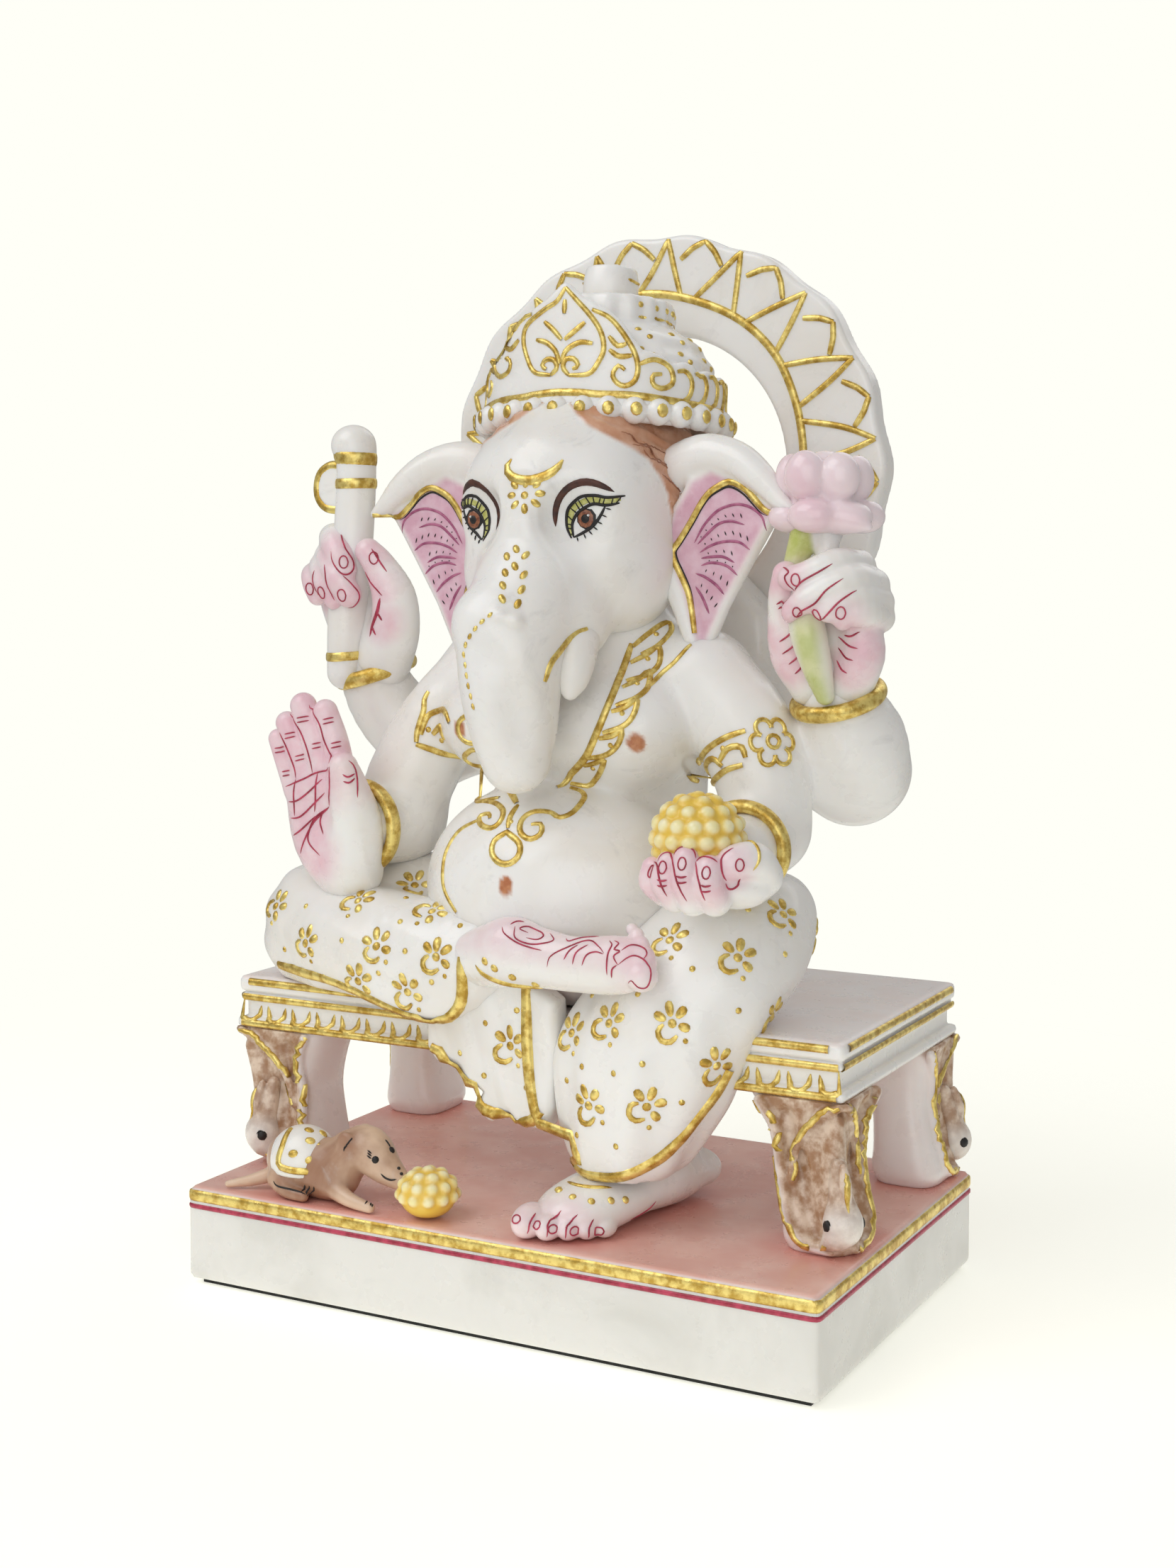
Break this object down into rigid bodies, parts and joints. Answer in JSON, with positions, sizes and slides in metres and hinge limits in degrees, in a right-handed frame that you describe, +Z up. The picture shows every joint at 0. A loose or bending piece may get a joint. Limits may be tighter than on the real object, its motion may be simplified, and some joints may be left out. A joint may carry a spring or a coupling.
{
  "type": "ganesha idol",
  "caption": "Carved and painted marble idol of a seated, four-armed elephant-headed figure with a ring halo, on a legged bench and a rectangular plinth.",
  "frame": {"origin": "centre of the pad's underside, on the surface the idol stands on", "axes": "+Z up, the figure faces -Y, +X to the viewer's right from the front"},
  "size_m": [0.2019, 0.126, 0.3055],
  "materials": {
    "white_marble": "polished white marble, carved",
    "dhoti_marble": "polished white marble cloth with raised gold motifs",
    "washed_marble": "carved marble with a brown wash and gold edges",
    "painted_skin": "marble tinted pink, crimson outlines",
    "ear_paint": "white marble rim, pink painted inside",
    "hair_paint": "brown paint on marble, satin",
    "gold_leaf": "gold leaf on carved marble",
    "lotus_paint": "pink painted marble, gold petal edges",
    "stem_paint": "pale green painted marble",
    "sweet_paint": "yellow painted marble",
    "fur_paint": "brown painted marble",
    "base_pad": "matte black pad"
  },
  "bodies": {
    "root": {"armlet_left": "gold_leaf", "armlet_right": "gold_leaf", "axe_blade": "gold_leaf", "axe_handle": "white_marble", "bangle_front_left": "gold_leaf", "bangle_front_right": "gold_leaf", "bangle_rear_left": "gold_leaf", "bangle_rear_right": "gold_leaf", "base_pad": "base_pad", "bench_leg_front_left": "washed_marble", "bench_leg_front_right": "washed_marble", "bench_leg_rear_left": "washed_marble", "bench_leg_rear_right": "washed_marble", "bench_plate": "white_marble", "bench_slab": "white_marble", "bird_front_left": "washed_marble", "bird_front_right": "washed_marble", "bird_rear_left": "washed_marble", "bird_rear_right": "washed_marble", "crown_band": "white_marble", "crown_dome": "white_marble", "crown_knob": "white_marble", "crown_tiara": "white_marble", "crown_tier": "white_marble", "ear_left": "ear_paint", "ear_right": "ear_paint", "folded_foot": "painted_skin", "folded_leg": "dhoti_marble", "forearm_front_left": "white_marble", "forearm_front_right": "white_marble", "forearm_rear_left": "white_marble", "forearm_rear_right": "white_marble", "front_drape": "dhoti_marble", "hair": "hair_paint", "halo": "white_marble", "halo_web": "white_marble", "hand_front_left": "painted_skin", "hand_front_right": "painted_skin", "hand_rear_left": "painted_skin", "hand_rear_right": "painted_skin", "hanging_leg": "dhoti_marble", "head": "white_marble", "lotus_flower": "lotus_paint", "lotus_stem": "stem_paint", "mouse_body": "fur_paint", "mouse_head": "fur_paint", "mouse_saddle": "dhoti_marble", "mouse_sweet": "sweet_paint", "mouse_tail": "fur_paint", "plinth": "white_marble", "standing_foot": "painted_skin", "sweet_in_hand": "sweet_paint", "torso": "white_marble", "trunk": "white_marble", "tusk": "white_marble", "upper_arm_front_left": "white_marble", "upper_arm_front_right": "white_marble", "upper_arm_rear_left": "white_marble", "upper_arm_rear_right": "white_marble"}
  },
  "joints": []
}
